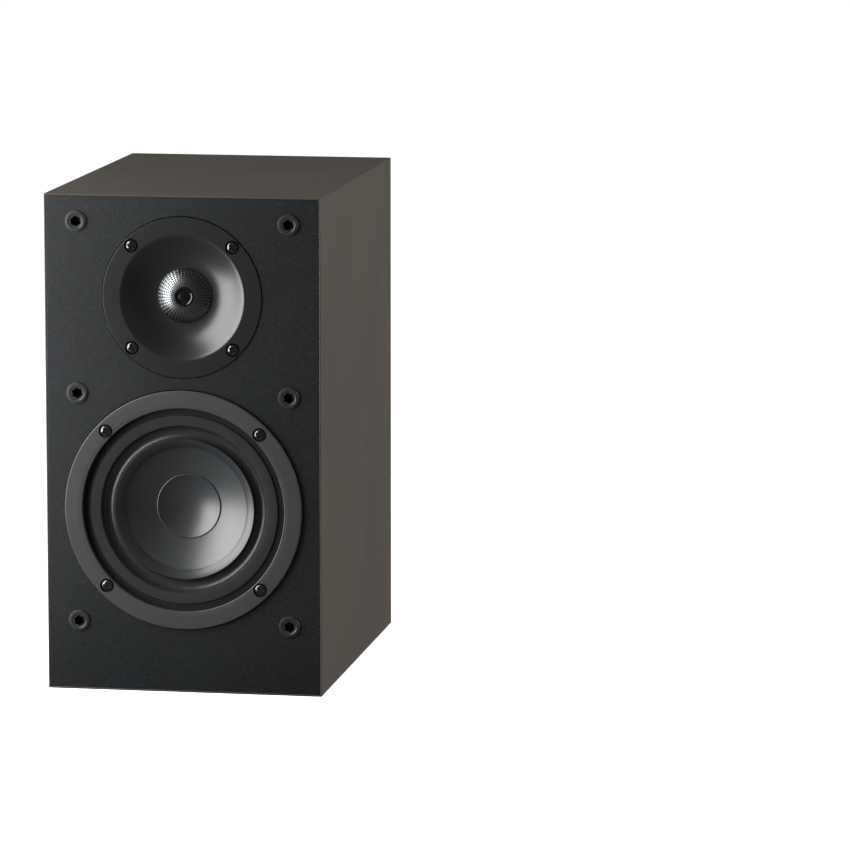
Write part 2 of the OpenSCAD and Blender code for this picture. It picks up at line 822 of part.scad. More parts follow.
module on_board() {
    translate([0, pcb_y, cup_z]) rotate([90, 0, 0]) children();
}

module crossover_board() {
    color("#2f5d3a") on_board() difference() {
        exact_plate(pcb_w, pcb_h, 2, pcb_t);
        at_standoffs() translate([0, 0, -1]) cylinder(r = 1.5, h = pcb_t + 2);
    }
}

module at_standoffs() {
    for (sx = [-1, 1], sz = [-1, 1])
        translate([sx * tray_w / 2 * 0.8, sz * tray_h / 2 * 0.8, 0]) children();
}

module crossover_standoffs() {
    standoff_l = rear_y + tray_floor - cup_wall - pcb_y;
    color("#c9a24b") on_board() at_standoffs() translate([0, 0, -standoff_l]) {
        cylinder(r = standoff_r, h = standoff_l);
        translate([0, 0, standoff_l - eps]) cylinder(r = 1.5, h = pcb_t + eps);
        translate([0, 0, standoff_l + pcb_t]) cylinder(r = 2.6, h = 1.6);
    }
}

// Centre across, centre up, radius, height
coil_spots = [[-12, 14, 13, 12], [14, -17, 10, 10]];

module crossover_coils() {
    color("#b06a35") on_board()
        for (c = coil_spots) translate([c[0], c[1], 0])
            ring(c[2], 5, pcb_t, pcb_t + c[3]);
}

// Centre across, centre up, radius, length
cap_spots = [[20, 7, 5.5, 28], [16, 22, 4.5, 18], [-10, -12, 5, 26]];

module crossover_capacitors() {
    color("#d9c84a") on_board() for (c = cap_spots)
        translate([c[0] - c[3] / 2, c[1], pcb_t + c[2]])
            rotate([0, 90, 0]) cylinder(r = c[2], h = c[3]);
}

module crossover_resistors() {
    color("#e4e0d6") on_board() for (z = [-29.5, -13.5])
        translate([-41, z, pcb_t]) cube([17, 7, 7]);
}

// ------------------------------------------------------------------ leads

// Round wire swept along points, with eight sides
function unit(v) = v / norm(v);
function direction(p, i) = unit(p[min(i + 1, len(p) - 1)] - p[max(i - 1, 0)]);
function wire_ring(p, i, r) =
    let (d = direction(p, i), side = unit(cross(d, [0.31, 0.17, 0.94])), up = cross(side, d))
        [for (k = [0 : 7]) p[i] + r * (cos(45 * k) * side + sin(45 * k) * up)];

module wire(p, r) {
    n = len(p);
    rings = [for (i = [0 : n - 1]) for (q = wire_ring(p, i, r)) q];
    walls = [for (i = [0 : n - 2]) for (k = [0 : 7])
        [i * 8 + k, i * 8 + (k + 1) % 8, (i + 1) * 8 + (k + 1) % 8, (i + 1) * 8 + k]];
    polyhedron(points = rings, faces = concat(walls,
        [[for (k = [7 : -1 : 0]) k], [for (k = [0 : 7]) (n - 1) * 8 + k]]));
}

// A bend through control points, as straight runs with rounded corners
function curve(p, steps) = [for (i = [0 : len(p) - 2]) for (s = [0 : steps - 1])
    let (u = s / steps, a = p[max(i - 1, 0)], b = p[i], c = p[i + 1],
        d = p[min(i + 2, len(p) - 1)])
        0.5 * ((2 * b) + (c - a) * u + (2 * a - 5 * b + 4 * c - d) * u * u
            + (3 * b - a - 3 * c + d) * u * u * u)];

wire_r = 1.1;
wire_gap = 0.1;
board_face = pcb_y - pcb_t;
board_top = cup_z + pcb_h / 2 - 1.4;

module woofer_leads() {
    start_y = front_y + basket_depth + tag_l + wire_gap;
    start_z = woofer_z + tag_r + 0.4;
    color("#a3241f") for (sx = [-1, 1])
        wire(curve([[sx * 6, start_y, start_z], [sx * 6, start_y + 12, start_z],
            [sx * 9, start_y + 40, start_z - 2], [sx * 12, board_face - 70, board_top + 28],
            [sx * 12, board_face - 24, board_top + 7], [sx * 12, board_face - 8, board_top],
            [sx * 12, board_face - wire_gap, board_top]], 5), wire_r);
}

module tweeter_leads() {
    start_y = front_y - tweeter_plate_z + tweeter_plate_t + tweeter_magnet_t + tweeter_yoke_t
        + wire_gap;
    reach = tweeter_magnet_r - 4.7;
    color("#2a2a2a") for (sx = [-1, 1])
        wire(curve([[sx * reach, start_y, tweeter_z - 4], [sx * reach, start_y + 10, tweeter_z - 4],
            [sx * 31, start_y + 34, tweeter_z - 20], [sx * 32, start_y + 52, tweeter_z - 55],
            [sx * 32, board_face - 62, board_top + 40], [sx * 34, board_face - 24, board_top + 8],
            [sx * 34, board_face - 8, board_top], [sx * 34, board_face - wire_gap, board_top]], 5),
            wire_r);
}

module input_leads() {
    start_y = rear_y + tray_floor - stud_in - wire_gap;
    color("#a3241f") for (sx = [-1, 1])
        wire(curve([[sx * post_gap / 2, start_y, cup_z], [sx * post_gap / 2, start_y - 2.5, cup_z],
            [sx * post_gap / 2, pcb_y + 2.5, cup_z - 3],
            [sx * post_gap / 2, pcb_y + wire_gap, cup_z - 3]], 4), 0.9);
}

// ----------------------------------------------------------------- grille

// Stands the grille on its lower edge, its pegs towards the left side
module stored() {
    translate([store_x, store_y, 0]) rotate([90, 0, -90]) translate([0, grille_h / 2, 0])
        children();
}

// Grille outline: small corners at the head, wide ones at the foot
module grille_outline(shrink) {
    w = grille_w - 2 * shrink;
    h = grille_h - 2 * shrink;
    foot = foot_corner - shrink;
    head = max(head_corner - shrink, 0.5);
    square([w - 2 * foot, h], center = true);
    translate([-w / 2, -h / 2 + foot]) square([w, h - foot - head]);
    translate([-w / 2 + head, h / 2 - head - eps]) square([w - 2 * head, head + eps]);
    for (sx = [-1, 1]) {
        translate([sx * (w / 2 - foot), -h / 2 + foot]) circle(r = foot);
        translate([sx * (w / 2 - head), h / 2 - head]) circle(r = head);
    }
}

module grille_frame() {
    color("#1c1c1d") stored() difference() {
        linear_extrude(height = frame_t) grille_outline(cloth_t);
        translate([0, 0, -1]) linear_extrude(height = frame_t + 2) difference() {
            square([grille_w - 2 * frame_bar, grille_h - 2 * frame_bar - 14], center = true);
            translate([-grille_w / 2, socket_mid - grille_mid_z - frame_bar / 2])
                square([grille_w, frame_bar]);
        }
        at_pegs() translate([0, 0, -1]) cylinder(r = peg_r, h = 5);
    }
}

module at_pegs() {
    for (z = socket_zs, sx = [-1, 1])
        translate([sx * socket_w / 2, z - grille_mid_z, 0]) children();
}

module grille_pegs() {
    color("#1c1c1d") stored() at_pegs() rotate_extrude($fn = 48)
        polygon([[0, -peg_l], [peg_r - 0.8, -peg_l], [peg_r, -peg_l + 1.2], [peg_r, 4], [0, 4]]);
}

module grille_cloth() {
    color("#1d1d1f") stored() difference() {
        linear_extrude(height = grille_t) grille_outline(0);
        translate([0, 0, -1]) linear_extrude(height = frame_t + 1) grille_outline(cloth_t);
    }
}

module grille_badge() {
    color("#c8cacc") stored() translate([0, badge_z - grille_mid_z, grille_t])
        exact_plate(badge_w, badge_h, badge_h / 2 - 0.5, badge_t);
}

top_panel();
bottom_panel();
left_side_panel();
right_side_panel();
rear_panel();
front_baffle();
window_brace();
grille_sockets();
damping_left();
damping_right();
damping_top();
woofer_trim_ring();
woofer_basket();
woofer_gasket();
woofer_surround();
woofer_cone();
woofer_dust_cap();
woofer_voice_coil();
woofer_spider();
woofer_top_plate();
woofer_magnet();
woofer_pole_plate();
woofer_tag_strip();
woofer_screws();
tweeter_faceplate();
tweeter_guard();
tweeter_dome();
tweeter_suspension();
tweeter_voice_coil();
tweeter_gasket();
tweeter_top_plate();
tweeter_magnet();
tweeter_pole_plate();
tweeter_rear_chamber();
tweeter_screws();
port_tube();
terminal_cup();
terminal_gasket();
terminal_screws();
post_studs();
post_hex_nuts();
post_ring_red();
post_ring_black();
post_cap_red();
post_cap_black();
crossover_board();
crossover_standoffs();
crossover_coils();
crossover_capacitors();
crossover_resistors();
woofer_leads();
tweeter_leads();
input_leads();
grille_frame();
grille_pegs();
grille_cloth();
grille_badge();
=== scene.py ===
"""Looks of a two-way bookshelf speaker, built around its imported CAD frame."""

import json
import math

import bmesh
import bpy
import numpy as np
from mathutils import Matrix, Vector


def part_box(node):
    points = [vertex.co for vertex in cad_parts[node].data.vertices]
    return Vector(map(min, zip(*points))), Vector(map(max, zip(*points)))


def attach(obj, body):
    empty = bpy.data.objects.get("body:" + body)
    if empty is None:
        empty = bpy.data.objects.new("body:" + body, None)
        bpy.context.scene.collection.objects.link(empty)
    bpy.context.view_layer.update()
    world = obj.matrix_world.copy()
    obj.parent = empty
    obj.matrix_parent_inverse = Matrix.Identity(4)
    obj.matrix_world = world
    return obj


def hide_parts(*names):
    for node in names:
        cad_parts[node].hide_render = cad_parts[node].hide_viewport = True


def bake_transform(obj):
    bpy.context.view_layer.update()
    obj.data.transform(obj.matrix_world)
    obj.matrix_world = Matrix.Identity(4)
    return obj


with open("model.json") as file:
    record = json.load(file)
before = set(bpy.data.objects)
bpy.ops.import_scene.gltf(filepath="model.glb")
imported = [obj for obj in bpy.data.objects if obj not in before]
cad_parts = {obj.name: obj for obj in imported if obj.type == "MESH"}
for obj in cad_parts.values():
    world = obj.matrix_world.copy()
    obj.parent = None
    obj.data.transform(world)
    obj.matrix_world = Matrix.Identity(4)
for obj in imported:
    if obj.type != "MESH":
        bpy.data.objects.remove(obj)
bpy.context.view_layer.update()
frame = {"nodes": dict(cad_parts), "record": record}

NODES = frame["nodes"]
SLOT_OF = {s["node"]: s["material_slot"] for s in frame["record"]["subparts"]}
MM = 0.001
FRONT = Vector((0, -1, 0))
REAR = Vector((0, 1, 0))
ACROSS = Vector((1, 0, 0))
SMOOTH_ANGLE = math.radians(32)
CLOTH_SMOOTH_ANGLE = math.radians(60)
COPLANAR_ANGLE = math.radians(0.3)
WELD = 2e-6
FLUSH = 1e-5

# ------------------------------------------------------------------ camera

LENS = 227.44
EYE = Vector((0.66242, -3.16283, 0.63794))
EYE_AZIMUTH = 9.66
EYE_ELEVATION = 8.73

camera = bpy.data.objects.new("camera", bpy.data.cameras.new("camera"))
camera.data.sensor_width = 36
camera.data.lens = LENS
camera.data.clip_end = 60
camera.location = EYE
camera.rotation_euler = (
    math.radians(90 - EYE_ELEVATION),
    0,
    math.radians(EYE_AZIMUTH),
)
bpy.context.collection.objects.link(camera)
bpy.context.scene.camera = camera
bpy.context.scene.view_settings.view_transform = "Standard"

# ------------------------------------------------------- places and sizes


def middle(node, y):
    """Centre of a node across and up, on the plane at y."""
    low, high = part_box(node)
    return Vector(((low.x + high.x) / 2, y, (low.z + high.z) / 2))


def half_width(node):
    """Half of a node's width, in millimetres."""
    low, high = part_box(node)
    return (high.x - low.x) / 2 / MM


front_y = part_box("front_baffle")[0].y
rear_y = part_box("rear_panel")[1].y
woofer = middle("woofer_trim_ring", front_y)
tweeter = middle("tweeter_guard", front_y)
port = middle("port_tube", rear_y)

# Woofer, in millimetres: radii, and heights in front of the baffle
TRIM_R = half_width("woofer_trim_ring")
TRIM_INNER = TRIM_R - 10.5
TRIM_H = (front_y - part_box("woofer_trim_ring")[0].y) / MM
SEAT_H = (front_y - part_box("woofer_trim_ring")[1].y) / MM
WOOFER_SCREW_R = 65.2
SURROUND_R = half_width("woofer_surround")
SURROUND_T = 0.8
TROUGH_OUT = 49.9
TROUGH_IN = 41.7
TROUGH_DEEP = 4.2
TROUGH_WALL = 0.6
RIM_H = -2.5
FLANGE_R = 36.7
FLANGE_H = -5.5
CAP_R = half_width("woofer_dust_cap")
CAP_SEAT_R = CAP_R - 1.5
CAP_H = -15.9
CAP_DISH = 5.2
NECK_R = 13.25
NECK_H = -21.0
CONE_T = 0.8
CONE_SAG = 3.2
SPIDER_HELD = 3
SPIDER_MOVING_R = 15

# Tweeter
PLATE_R = half_width("tweeter_faceplate")
PLATE_H = 0.6
PLATE_T = 3.0
GUIDE_R = 37.5
GUIDE_DEPTH = 10.0
GUIDE_LIP = 0.05
GUIDE_LIP_SCALE = 1.0512
THROAT_R = half_width("tweeter_guard")
CLAMP_H = -16.6
CLAMP_R = 18.0
ROLL_HELD = 1
ROLL_MOVING_R = 13
SKIRT_R = 36.5
SKIRT_H = -17.0
TWEETER_SCREW_R = 42.65
GUARD_MID_R = 5.4
GUARD_RISE = 4.6
GUARD_BAR = 0.14
GUARD_T = 0.45

# Screws and sockets
HEAD_RECESS_R = 4.2
HEAD_R = 3.5
HEAD_H = 2.2
HEAD_SINK = 1.8
SHANK_R = 1.75
CROSS_BAR = (4.8, 3.0, 1.25)
WOOFER_SCREW_L = 16
TWEETER_SCREW_L = 14
SOCKET_R = 6.3
SOCKET_H = 1.1
SOCKET_HOLE_R = 3.2
SOCKET_HOLE_H = -9.5
SOCKET_LOBE = 0.86
SOCKET_BODY_R = 5.0
SOCKET_BODY_H = -12.0
SOCKET_MIDDLE_UP = 135.95

# Port
PORT_R = 20.0
PORT_WALL = 2.2
PORT_LIP = 4
FLARE_LENGTH = 12.0

# Cabinet and grille
BOARD_EDGE = 0.55
CLOTH_ROUND = 3.0
CLOTH_T = 0.8
BADGE_RIM = 1.1
BADGE_SUNK = 0.5


# ------------------------------------------------------------- modelling


def pick(*objects):
    bpy.ops.object.select_all(action="DESELECT")
    for obj in objects:
        obj.select_set(True)
    bpy.context.view_layer.objects.active = objects[0]


def edit(obj):
    pick(obj)
    bpy.ops.object.mode_set(mode="EDIT")
    bpy.ops.mesh.select_all(action="SELECT")


def settle(obj, angle=SMOOTH_ANGLE):
    """Leaves edit mode with the place in the mesh and smooth shading up to an angle."""
    if obj.mode == "EDIT":
        bpy.ops.object.mode_set(mode="OBJECT")
    pick(obj)
    bpy.ops.object.transform_apply(location=True, rotation=True, scale=True)
    bpy.ops.object.shade_smooth_by_angle(angle=angle)
    return obj


def use(obj, kind, **settings):
    """Adds a modifier with its settings and applies it."""
    pick(obj)
    modifier = obj.modifiers.new(kind.lower(), kind)
    for name, value in settings.items():
        setattr(modifier, name, value)
    bpy.ops.object.modifier_apply(modifier=modifier.name)


def round_edges(obj, width, segments=3, angle=35):
    use(
        obj,
        "BEVEL",
        width=width * MM,
        segments=segments,
        limit_method="ANGLE",
        angle_limit=math.radians(angle),
        use_clamp_overlap=False,
    )


def flat_faced(obj):
    """Keeps broad flat faces flat in the shading, with only the rounded edges turning."""
    use(obj, "WEIGHTED_NORMAL", keep_sharp=True, weight=80)
    return obj


def turned(name, centre, outline, out=FRONT, steps=144, closed=True):
    """A piece spun about the axis through centre: outline is (radius, height) in mm."""
    points = [centre + ACROSS * (r * MM) + out * (h * MM) for r, h in outline]
    if closed:
        points.append(points[0])
    bpy.ops.object.select_all(action="DESELECT")
    bpy.ops.mesh.primitive_plane_add(size=MM, location=points[0])
    obj = bpy.context.object
    obj.name = name
    edit(obj)
    bpy.ops.mesh.merge(type="CENTER")
    for here, there in zip(points, points[1:]):
        bpy.ops.mesh.extrude_region_move(
            TRANSFORM_OT_translate={"value": there - here}
        )
    bpy.ops.mesh.select_all(action="SELECT")
    bpy.ops.mesh.spin(steps=steps, angle=2 * math.pi, center=centre, axis=out)
    bpy.ops.mesh.select_all(action="SELECT")
    bpy.ops.mesh.remove_doubles(threshold=WELD)
    bpy.ops.mesh.normals_make_consistent(inside=False)
    return settle(obj)


def copy_of(node, name):
    """A welded copy of a CAD node, its flat faces whole again."""
    obj = bpy.data.objects.new(name, NODES[node].data.copy())
    bpy.context.collection.objects.link(obj)
    obj.data.materials.clear()
    pick(obj)
    bpy.ops.mesh.customdata_custom_splitnormals_clear()
    edit(obj)
    bpy.ops.mesh.remove_doubles(threshold=WELD)
    bpy.ops.mesh.dissolve_limited(angle_limit=COPLANAR_ANGLE)
    bpy.ops.object.mode_set(mode="OBJECT")
    return obj


def softened(node, name, width, segments=3, angle=35):
    """A copy of a CAD node with its sharp edges rounded."""
    obj = copy_of(node, name)
    round_edges(obj, width, segments, angle)
    return flat_faced(settle(obj))


def carved(obj, cutters):
    """Cuts the cutters out of obj and removes them."""
    for cutter in cutters:
        use(obj, "BOOLEAN", operation="DIFFERENCE", solver="EXACT", object=cutter)
        bpy.data.objects.remove(cutter)
    return settle(obj)


def cylinder(centre, radius, low, high, vertices=40):
    """A plain cutter square to the baffle, between two heights in mm."""
    bpy.ops.object.select_all(action="DESELECT")
    bpy.ops.mesh.primitive_cylinder_add(
        vertices=vertices,
        radius=radius * MM,
        depth=(high - low) * MM,
        location=centre + FRONT * ((low + high) / 2 * MM),
        rotation=(math.radians(90), 0, 0),
    )
    obj = bpy.context.object
    bpy.ops.object.transform_apply(location=True, rotation=True, scale=True)
    return obj


def joined(name, objects):
    """Joins objects into one named piece."""
    pick(*objects)
    bpy.ops.object.join()
    objects[0].name = name
    return objects[0]


def spread(obj, name, places):
    """Copies of obj at each place, a matrix, joined into one piece."""
    made = []
    for place in places:
        twin = bpy.data.objects.new(name, obj.data.copy())
        twin.data.transform(place)
        bpy.context.collection.objects.link(twin)
        made.append(twin)
    bpy.data.objects.remove(obj)
    return joined(name, made)


def fitted(obj, body, material, slot, *nodes):
    """Paints a finished piece, sets it on its body and puts it in its nodes' place."""
    obj.data.materials.clear()
    obj.data.materials.append(material)
    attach(obj, body)
    if nodes:
        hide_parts(*nodes)


def diagonal(centre, radius):
    """The four diagonal points of a circle on the baffle."""
    angles = [math.radians(45 + 90 * i) for i in range(4)]
    return [centre + Vector((math.cos(a), 0, math.sin(a))) * (radius * MM) for a in angles]


# ------------------------------------------------------------- materials


def group_of(name, inputs, outputs):
    """An empty shader group with its named inputs, each with a value, and outputs."""
    group = bpy.data.node_groups.new(name, "ShaderNodeTree")
    for label, kind, value in inputs:
        socket = group.interface.new_socket(
            name=label, in_out="INPUT", socket_type="NodeSocket" + kind
        )
        socket.default_value = value
    for label, kind in outputs:
        group.interface.new_socket(
            name=label, in_out="OUTPUT", socket_type="NodeSocket" + kind
        )
    return group


class Graph:
    """Short hand for placing and joining shader nodes."""

    def __init__(self, tree):
        self.tree = tree

    def add(self, kind, settings=None, **inputs):
        node = self.tree.nodes.new("ShaderNode" + kind)
        for key, value in (settings or {}).items():
            setattr(node, key, value)
        for key, value in inputs.items():
            label = key.replace("_", " ")
            socket = node.inputs[int(key[1:])] if key[1:].isdigit() else node.inputs[label]
            if isinstance(value, bpy.types.NodeSocket):
                self.tree.links.new(value, socket)
            else:
                socket.default_value = value
        return node

    def maths(self, operation, a, b=0.0, clamp=False):
        node = self.add("Math", {"operation": operation, "use_clamp": clamp}, i0=a, i1=b)
        return node.outputs[0]

    def mix(self, factor, a, b):
        node = self.add("Mix", {"data_type": "RGBA"})
        for index, value in ((0, factor), (6, a), (7, b)):
            if isinstance(value, bpy.types.NodeSocket):
                self.tree.links.new(value, node.inputs[index])
            else:
                node.inputs[index].default_value = value
        return node.outputs[2]

    def between(self, value, low, high, to_low=0.0, to_high=1.0):
        node = self.add("MapRange", {"clamp": True})
        self.tree.links.new(value, node.inputs[0])
        for index, number in enumerate((low, high, to_low, to_high), 1):
            if isinstance(number, bpy.types.NodeSocket):
                self.tree.links.new(number, node.inputs[index])
            else:
                node.inputs[index].default_value = number
        return node.outputs[0]


def make_grain():
    """Fine grain and slow mottling, as on moulded, painted and wrapped surfaces."""
    group = group_of(
        "surface grain",
        [
            ("Colour", "Color", (0.1, 0.1, 0.1, 1)),
            ("Roughness", "Float", 0.5),
            ("Stretch", "Vector", (1, 1, 1)),
            ("Grain scale", "Float", 1500.0),
            ("Mottle scale", "Float", 30.0),
            ("Mottle amount", "Float", 0.15),
            ("Grain colour", "Float", 0.1),
        ],
        [("Colour", "Color"), ("Roughness", "Float"), ("Height", "Float")],
    )
    g = Graph(group)
    given = group.nodes.new("NodeGroupInput").outputs
    place = g.add("TexCoord").outputs["Object"]
    stretched = g.add(
        "VectorMath", {"operation": "MULTIPLY"}, i0=place, i1=given["Stretch"]
    ).outputs[0]
    grain = g.add(
        "TexNoise", Vector=stretched, Scale=given["Grain scale"], Detail=2.0, Roughness=0.6
    ).outputs["Fac"]
    mottle = g.add(
        "TexNoise", Vector=stretched, Scale=given["Mottle scale"], Detail=4.0, Roughness=0.6
    ).outputs["Fac"]
    slow = g.maths("MULTIPLY", g.maths("SUBTRACT", mottle, 0.5), given["Mottle amount"])
    fine = g.maths("MULTIPLY", g.maths("SUBTRACT", grain, 0.5), given["Grain colour"])
    shade = g.maths("ADD", 1.0, g.maths("ADD", slow, fine))
    tinted = g.add(
        "VectorMath", {"operation": "SCALE"}, i0=given["Colour"], Scale=shade
    ).outputs[0]
    rough = g.maths("ADD", given["Roughness"], g.maths("MULTIPLY", slow, 0.4), clamp=True)
    done = group.nodes.new("NodeGroupOutput").inputs
    group.links.new(tinted, done["Colour"])
    group.links.new(rough, done["Roughness"])
    group.links.new(grain, done["Height"])
    return group


def make_specks():
    """Fine light specks scattered in a textured paint."""
    group = group_of(
        "paint specks",
        [("Scale", "Float", 900.0), ("Cover", "Float", 0.3)],
        [("Mask", "Float")],
    )
    g = Graph(group)
    given = group.nodes.new("NodeGroupInput").outputs
    place = g.add("TexCoord").outputs["Object"]
    cells = g.add("TexVoronoi", Vector=place, Scale=given["Scale"], Randomness=1.0)
    near = g.between(cells.outputs["Distance"], 0.15, 0.45, 1.0, 0.0)
    pale = g.add("SeparateColor", Color=cells.outputs["Color"]).outputs[0]
    kept = g.between(pale, g.maths("SUBTRACT", 1.0, given["Cover"]), 1.0)
    done = group.nodes.new("NodeGroupOutput").inputs
    group.links.new(g.maths("MULTIPLY", near, kept), done["Mask"])
    return group


def make_rings():
    """Faint turned or pressed rings about an axis along Y, given the axis's height."""
    group = group_of(
        "turned rings",
        [("Axis height", "Float", 0.1), ("Pitch", "Float", 1500.0)],
        [("Height", "Float"), ("Radius", "Float")],
    )
    g = Graph(group)
    given = group.nodes.new("NodeGroupInput").outputs
    parts = g.add("SeparateXYZ", Vector=g.add("TexCoord").outputs["Object"]).outputs
    up = g.maths("SUBTRACT", parts[2], given["Axis height"])
    squares = g.maths("ADD", g.maths("MULTIPLY", parts[0], parts[0]), g.maths("MULTIPLY", up, up))
    radius = g.maths("SQRT", squares)
    wave = g.maths("SINE", g.maths("MULTIPLY", radius, given["Pitch"]))
    done = group.nodes.new("NodeGroupOutput").inputs
    group.links.new(wave, done["Height"])
    group.links.new(radius, done["Radius"])
    return group


def make_knit():
    """A fine rib knit: upright ribs crossed by slanting rows of loops."""
    group = group_of(
        "rib knit",
        [("Rib pitch", "Float", 1100.0), ("Row pitch", "Float", 1600.0)],
        [("Height", "Float"), ("Rib", "Float")],
    )
    g = Graph(group)
    given = group.nodes.new("NodeGroupInput").outputs
    parts = g.add("SeparateXYZ", Vector=g.add("TexCoord").outputs["Object"]).outputs
    across = g.maths("ADD", parts[1], parts[0])
    rib = g.maths("SINE", g.maths("MULTIPLY", across, given["Rib pitch"]))
    slant = g.maths("ADD", parts[2], g.maths("MULTIPLY", across, 0.6))
    row = g.maths("SINE", g.maths("MULTIPLY", slant, given["Row pitch"]))
    broad_pitch = g.maths("MULTIPLY", given["Rib pitch"], 0.1)
    wide = g.maths("SINE", g.maths("MULTIPLY", across, broad_pitch))
    both = g.maths("ADD", g.maths("MULTIPLY", rib, 0.6), g.maths("MULTIPLY", row, 0.4))
    done = group.nodes.new("NodeGroupOutput").inputs
    group.links.new(both, done["Height"])
    group.links.new(g.between(wide, -1.0, 1.0), done["Rib"])
    return group


GRAIN = make_grain()
SPECKS = make_specks()
RINGS = make_rings()
KNIT = make_knit()


def place_group(g, group, **inputs):
    """Puts a shader group in a graph and gives its outputs."""
    node = g.tree.nodes.new("ShaderNodeGroup")
    node.node_tree = group
    for key, value in inputs.items():
        socket = node.inputs[key.replace("_", " ")]
        if isinstance(value, bpy.types.NodeSocket):
            g.tree.links.new(value, socket)
        else:
            socket.default_value = value
    return node.outputs


def finish(
    name,
    colour,
    roughness,
    metallic=0.0,
    stretch=(1, 1, 1),
    grain=1500.0,
    mottle=30.0,
    mottling=0.15,
    grain_colour=0.1,
    depth=0.02,
    strength=0.3,
    **shader
):
    """A material with grain: returns it with its graph, shader, grain and bump."""
    material = bpy.data.materials.new(name)
    material.use_nodes = True
    material.node_tree.nodes.clear()
    g = Graph(material.node_tree)
    made = place_group(
        g,
        GRAIN,
        Colour=(*colour, 1),
        Roughness=roughness,
        Stretch=stretch,
        Grain_scale=grain,
        Mottle_scale=mottle,
        Mottle_amount=mottling,
        Grain_colour=grain_colour,
    )
    bump = g.add("Bump", Strength=strength, Distance=depth * MM, Height=made["Height"])
    surface = g.add(
        "BsdfPrincipled",
        Base_Color=made["Colour"],
        Roughness=made["Roughness"],
        Metallic=metallic,
        Normal=bump.outputs[0],
    )
    for key, value in shader.items():
        surface.inputs[key.replace("_", " ")].default_value = value
    g.add("OutputMaterial", Surface=surface.outputs[0])
    return material, g, surface, made, bump


def plain(*args, **settings):
    """A material that needs no more than its grain."""
    return finish(*args, **settings)[0]


def wrap_finish(name, colour):
    """Dark vinyl wrap: satin, with a faint upright grain and slow brown clouds."""
    material, g, surface, made, _ = finish(
        name, colour, 0.55, grain=1900.0, mottle=26.0, mottling=0.25, grain_colour=0.3,
        stretch=(1, 1, 0.35), depth=0.03, strength=0.35, Specular_IOR_Level=0.3,
    )
    place = g.add("TexCoord").outputs["Object"]
    cloud = g.add("TexNoise", Vector=place, Scale=9.0, Detail=3.0).outputs["Fac"]
    warmer = tuple(c * k for c, k in zip(colour, (1.22, 1.05, 0.92))) + (1,)
    mixed = g.mix(g.between(cloud, 0.4, 0.68, 0.0, 0.5), made["Colour"], warmer)
    g.tree.links.new(mixed, surface.inputs["Base Color"])
    return material


def baffle_finish():
    """Blue-black textured paint with fine pale specks."""
    material, g, surface, made, bump = finish(
        "speckled baffle paint", (0.006, 0.0078, 0.0095), 0.44, grain=1350.0, mottle=14.0,
        mottling=0.25, grain_colour=1.6, depth=0.08, strength=0.8, Specular_IOR_Level=0.42,
    )
    mask = place_group(g, SPECKS, Scale=1050.0, Cover=0.45)["Mask"]
    mixed = g.mix(g.maths("MULTIPLY", mask, 0.5), made["Colour"], (0.06, 0.064, 0.068, 1))
    g.tree.links.new(mixed, surface.inputs["Base Color"])
    raised = g.maths("ADD", made["Height"], g.maths("MULTIPLY", mask, 0.5))
    g.tree.links.new(raised, bump.inputs["Height"])
    return material


def ringed_finish(name, colour, roughness, axis_height, pitch, amount, **settings):
    """A round driver part: faint rings from its mould, over the grain."""
    material, g, _, made, bump = finish(name, colour, roughness, **settings)
    rings = place_group(g, RINGS, Axis_height=axis_height, Pitch=pitch)
    raised = g.maths("ADD", made["Height"], g.maths("MULTIPLY", rings["Height"], amount))
    g.tree.links.new(raised, bump.inputs["Height"])
    return material


def knit_finish():
    """Stretched black rib knit over the grille."""
    material, g, surface, made, bump = finish(
        "black rib knit", (0.0105, 0.0108, 0.0115), 0.82, grain=2600.0, mottle=60.0,
        mottling=0.2, grain_colour=0.8, depth=0.12, strength=0.7, Sheen_Weight=0.1,
        Sheen_Roughness=0.4, Specular_IOR_Level=0.25,
    )
    knit = place_group(g, KNIT, Rib_pitch=3000.0, Row_pitch=4200.0)
    lit = g.mix(g.maths("MULTIPLY", knit["Rib"], 0.12), made["Colour"], (0.024, 0.0245, 0.026, 1))
    g.tree.links.new(lit, surface.inputs["Base Color"])
    g.tree.links.new(knit["Height"], bump.inputs["Height"])
    return material


def fibre_finish(name, colour):
    """Matt matted or woven fibre."""
    return plain(
        name, colour, 0.95, grain=500.0, mottle=50.0, mottling=0.4, grain_colour=0.6,
        depth=0.8, strength=0.8, Specular_IOR_Level=0.15,
    )


